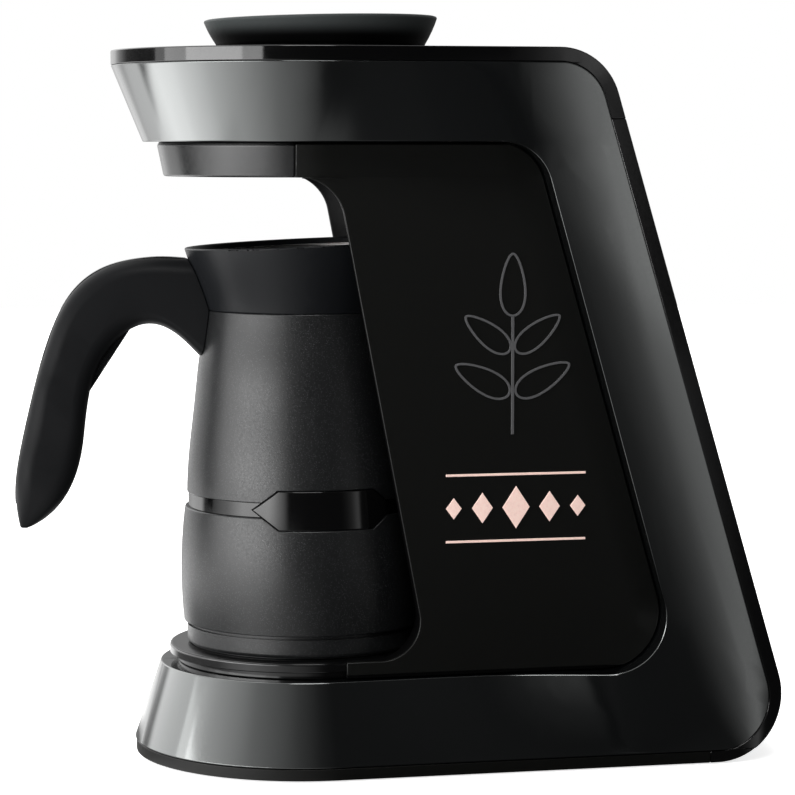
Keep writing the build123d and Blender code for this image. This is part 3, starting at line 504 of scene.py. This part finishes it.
CREASE = radians(26)                            # edges sharper than this are rounded
SOFT_CREASE = radians(9)                        # edges blunter than this are shaded smooth
MERGE_GAP = 0.002 * MM
FLAT_LIMIT = radians(0.4)                       # faces that meet flatter than this become one
ROUND_STEPS = 3                                 # faces across a rounded edge


def round_edges(bm, width):
    """Rounds every edge sharper than CREASE; returns the numbers of the faces that it makes."""
    for face in bm.faces:
        face.smooth = True
    sharp = []
    for edge in bm.edges:
        if len(edge.link_faces) != 2:
            continue
        angle = edge.calc_face_angle(0.0)
        edge.smooth = angle < SOFT_CREASE or angle > CREASE
        if angle > CREASE:
            sharp.append(edge)
    made = bmesh.ops.bevel(
        bm, geom=sharp, offset=width, offset_type="OFFSET", affect="EDGES",
        segments=ROUND_STEPS, profile=0.5, material=-1, clamp_overlap=False,
    )
    bm.faces.index_update()
    return {face.index for face in made["faces"]}


SAME_SURFACE = 0.03 * MM                        # a spot this near to a face lies on it
SAME_SIDE = cos(radians(22))
FACE_LEEWAY = 0.02                              # a face may be turned off a little more than its normals


def normal_at(solid, tree, spot, facing):
    """The solid's exact surface normal at a spot, on the face that looks most nearly this way."""
    best, best_share = None, SAME_SIDE
    for _, _, index, _ in tree.find_nearest_range(spot, SAME_SURFACE):
        face = solid.polygons[index]
        corners = [solid.vertices[vertex].co for vertex in face.vertices]
        shares = poly_3d_calc(corners, spot)
        normal = Vector((0, 0, 0))
        for corner, share in zip(face.loop_indices, shares):
            normal += solid.corner_normals[corner].vector * share
        if normal.length < 0.5:
            continue
        normal.normalize()
        share = min(normal.dot(facing), face.normal.dot(facing) + FACE_LEEWAY)
        if share > best_share:
            best, best_share = normal, share
    return best


def take_normals(piece, node, rounded):
    """Shades a copy by the solid's exact normals, with its rounded edges blended into them."""
    solid = nodes[node].data
    spots = [vert.co for vert in solid.vertices]
    tree = BVHTree.FromPolygons(spots, [face.vertices for face in solid.polygons])
    mesh = piece.data
    normals = [corner.vector.copy() for corner in mesh.corner_normals]
    exact = {}
    for face in mesh.polygons:
        if face.index in rounded:
            continue
        for corner in face.loop_indices:
            vertex = mesh.loops[corner].vertex_index
            normal = normal_at(solid, tree, mesh.vertices[vertex].co, normals[corner])
            if normal is None:
                normal = normal_at(solid, tree, mesh.vertices[vertex].co, face.normal)
            if normal is not None:
                normals[corner] = normal
                exact.setdefault(vertex, []).append(normal)
    for face in mesh.polygons:
        if face.index in rounded:
            for corner in face.loop_indices:
                around = exact.get(mesh.loops[corner].vertex_index)
                if around:
                    normals[corner] = max(around, key=face.normal.dot)
    mesh.normals_split_custom_set(normals)


def rounded_copy(node, name, material, width):
    """A moulding with its moulded edge radii, in place of its sharp-edged node."""
    bm = bmesh.new()
    bm.from_mesh(nodes[node].data)
    bmesh.ops.remove_doubles(bm, verts=bm.verts, dist=MERGE_GAP)
    bmesh.ops.dissolve_limit(bm, angle_limit=FLAT_LIMIT, verts=bm.verts, edges=bm.edges)
    rounded = round_edges(bm, width)
    piece = add_piece(name, bm, material, body_of(node))
    take_normals(piece, node, rounded)
    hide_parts(node)


MOULDINGS = (
    # node, the name of its copy, finish, edge radius in mm
    ("side_cover_right", "gloss_cover_right", "gloss_black", 0.45),
    ("side_panel_right", "satin_panel_right", "satin_black", 0.50),
    ("side_cover_left", "gloss_cover_left", "gloss_black", 0.45),
    ("side_panel_left", "satin_panel_left", "satin_black", 0.50),
    ("top_cover", "ribbon_top", "ribbon", 0.40),
    ("back_cover", "ribbon_back", "ribbon", 0.40),
    ("base_plate", "base_band", "satin_black", 0.45),
    ("bay_liner", "bay_lining", "liner", 0.45),
    ("sensor_housing", "drum_cup", "drum_black", 0.80),
    ("jug_platform", "platform_ring", "platform", 0.50),
    ("rim_collar", "collar_rim", "collar", 0.70),
    ("upper_shell", "jug_upper", "jug_matte", 0.35),
    ("lower_shell", "jug_lower", "jug_matte", 0.50),
    ("jug_belt", "belt_gloss", "ribbon", 0.20),
    ("jug_plaques", "belt_plaques", "ribbon", 0.30),
    ("handle_grip", "grip_body", "grip_matte", 0.50),
)


def add_mouldings(finish):
    for node, name, surface, radius in MOULDINGS:
        rounded_copy(node, name, finish[surface], radius * MM)


CAP_PROFILE = (
    # radius and height above the cap's foot, mm
    (0.0, 0.0), (38.8, 0.0), (39.5, 0.35), (40.1, 1.5), (41.3, 3.6), (42.6, 6.2), (43.6, 8.6),
    (44.2, 10.2), (44.35, 10.75), (44.1, 11.25), (43.4, 11.5), (42.2, 11.35), (38.0, 11.05),
    (28.0, 10.75), (14.0, 10.6), (0.0, 10.55),
)
CAP_R = max(r for r, _ in CAP_PROFILE) * MM
CAP_TALL = max(z for _, z in CAP_PROFILE) * MM
CAP_TILT = radians(1.2)
CAP_ROOM = 0.05 * MM                            # spare height, so the tilted rim stays below the solid's top
CAP_STEPS = 160                                 # faces round the cap
CAP_MERGE_GAP = 0.001 * MM


def add_start_button(finish):
    """Dished button top: rounded rim, sides that draw in to a smaller foot."""
    low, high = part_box("button_cap")
    centre_y = (low.y + high.y) / 2
    tall = high.z - low.z
    scale = (high.x - low.x) / 2 / CAP_R
    rise = tall / (CAP_TALL + CAP_R * tan(CAP_TILT) + CAP_ROOM)
    bm = bmesh.new()
    points = [bm.verts.new((r * MM * scale, 0, z * MM * rise)) for r, z in CAP_PROFILE]
    edges = [bm.edges.new(pair) for pair in zip(points, points[1:])]
    bmesh.ops.spin(
        bm, geom=points + edges, cent=(0, 0, 0), axis=(0, 0, 1), angle=2 * pi, steps=CAP_STEPS,
        use_merge=True, use_duplicate=False,
    )
    bmesh.ops.remove_doubles(bm, verts=bm.verts, dist=CAP_MERGE_GAP)
    bmesh.ops.recalc_face_normals(bm, faces=bm.faces)
    for vert in bm.verts:
        share = vert.co.z / tall
        vert.co.z += share * vert.co.y * tan(CAP_TILT)
    bmesh.ops.translate(bm, verts=bm.verts, vec=(0, centre_y, low.z))
    for face in bm.faces:
        face.smooth = True
    piece = add_piece("start_button_top", bm, finish["button_grey"], "start_button")
    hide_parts("button_cap")


def panel_place(side, along, height):
    """Matrix that lays a flat piece drawn in XY on a side panel: X runs back, Y up."""
    out = Vector((side * cos(SIDE_TAPER), sin(SIDE_TAPER), 0))
    back = Vector((-side * sin(SIDE_TAPER), cos(SIDE_TAPER), 0))
    spot = Vector((0, JUG_Y, height)) + out * PANEL_R + back * along
    turn = Matrix((back, Vector((0, 0, 1)), out)).transposed().to_4x4()
    return Matrix.Translation(spot) @ turn


MOTIF_HEIGHT = 0.45 * MM
MOTIF_ROUND = 0.12 * MM
MOTIF_ROUND_STEPS = 2
LEAF_LINE = 0.85 * MM
LEAF_TAPER = 0.45                               # how much narrower a leaf is at its tip
LEAF_STEPS = 36


def raise_flat(bm, faces):
    """Turns flat faces into raised ones that stand on the panel."""
    grown = bmesh.ops.extrude_face_region(bm, geom=faces)
    lifted = [item for item in grown["geom"] if isinstance(item, bmesh.types.BMVert)]
    bmesh.ops.translate(bm, verts=lifted, vec=(0, 0, MOTIF_HEIGHT))


def add_leaf(bm, x, y, length, width, lean):
    """Raised outline of a pointed leaf whose foot is at x, y."""
    start = len(bm.verts)
    made = bmesh.ops.create_circle(bm, cap_ends=True, segments=LEAF_STEPS, radius=1.0)
    for vert in made["verts"]:
        rise = (vert.co.y + 1) / 2
        vert.co.x *= width / 2 * (1 - LEAF_TAPER * rise)
        vert.co.y = rise * length
    face = made["verts"][0].link_faces[0]
    ring = bmesh.ops.inset_region(
        bm, faces=[face], thickness=LEAF_LINE, use_boundary=True, use_even_offset=True,
    )
    bmesh.ops.delete(bm, geom=[face], context="FACES_ONLY")
    place = Matrix.Translation((x, y, 0)) @ Matrix.Rotation(lean, 4, "Z")
    bm.verts.ensure_lookup_table()
    bmesh.ops.transform(bm, matrix=place, verts=bm.verts[start:])
    raise_flat(bm, ring["faces"])


def add_bar(bm, y, width, height):
    """Raised plain bar, centred at 0, y."""
    made = bmesh.ops.create_grid(bm, x_segments=1, y_segments=1, size=0.5)
    verts = made["verts"]
    bmesh.ops.scale(bm, vec=(width, height, 1), verts=verts)
    bmesh.ops.translate(bm, vec=(0, y, 0), verts=verts)
    raise_flat(bm, [verts[0].link_faces[0]])


def add_lozenge(bm, x, width, height):
    """Raised lozenge, centred at x, 0."""
    made = bmesh.ops.create_circle(bm, cap_ends=True, segments=4, radius=1.0)
    verts = made["verts"]
    bmesh.ops.scale(bm, vec=(width / 2, height / 2, 1), verts=verts)
    bmesh.ops.translate(bm, vec=(x, 0, 0), verts=verts)
    raise_flat(bm, [verts[0].link_faces[0]])


def finish_motif(name, bm, material, side, along, height, slot):
    """Rounds a motif's top edges and lays it on the panel of that side."""
    bmesh.ops.recalc_face_normals(bm, faces=bm.faces)
    top = [edge for edge in bm.edges if all(vert.co.z > MOTIF_HEIGHT / 2 for vert in edge.verts)]
    bmesh.ops.bevel(
        bm, geom=top, offset=MOTIF_ROUND, offset_type="OFFSET", affect="EDGES",
        segments=MOTIF_ROUND_STEPS, profile=0.5, material=-1, clamp_overlap=True,
    )
    bmesh.ops.transform(bm, matrix=panel_place(side, along, height), verts=bm.verts)
    if side < 0:
        bmesh.ops.recalc_face_normals(bm, faces=bm.faces)
    add_piece(name, bm, material, "machine")


LEAVES = (
    # x, y, length, width (mm) and lean (degrees) of each leaf of the sprig
    (0.0, 44.0, 24.0, 13.0, 0.0),
    (1.0, 31.0, 22.0, 11.5, -52.0), (-1.0, 31.0, 22.0, 11.5, 52.0),
    (1.0, 15.0, 24.0, 12.5, -62.0), (-1.0, 15.0, 24.0, 12.5, 62.0),
)
STALK = (1.1, 44.0)                             # width and height, mm
LOZENGES = (
    # place along the row, width and height, mm
    (-24.0, 6.0, 8.0), (-13.0, 8.0, 11.5), (0.0, 10.5, 16.0), (13.0, 8.0, 11.5), (24.0, 6.0, 8.0),
)
RULE = (54.0, 0.9)                              # the lines above and below the row, mm
RULE_RISE = 12.5                                # from the row's middle, mm
SPRIG_PLACE = (69.0 * MM, 126.5 * MM)           # along the panel and above the table
ROW_PLACE = (70.5 * MM, 99.0 * MM)


def add_panel_motifs(finish):
    """A plain leaf sprig and a row of lozenges on each side panel."""
    for side, word in ((1, "right"), (-1, "left")):
        bm = bmesh.new()
        for x, y, length, width, lean in LEAVES:
            add_leaf(bm, x * MM, y * MM, length * MM, width * MM, radians(lean))
        add_bar(bm, STALK[1] / 2 * MM, STALK[0] * MM, STALK[1] * MM)
        finish_motif("leaf_sprig_" + word, bm, finish["motif"], side, *SPRIG_PLACE, "satin_black")
        bm = bmesh.new()
        for x, width, height in LOZENGES:
            add_lozenge(bm, x * MM, width * MM, height * MM)
        for rise in (-RULE_RISE, RULE_RISE):
            add_bar(bm, rise * MM, RULE[0] * MM, RULE[1] * MM)
        finish_motif("lozenge_row_" + word, bm, finish["rose_gold"], side, *ROW_PLACE, "brass")


def main():
    add_camera()
    add_lights()
    add_world()
    add_floor()
    finish = finishes()
    dress_cad_nodes(finish)
    add_mouldings(finish)
    add_start_button(finish)
    add_panel_motifs(finish)
    bpy.context.scene.view_settings.view_transform = "Standard"


main()
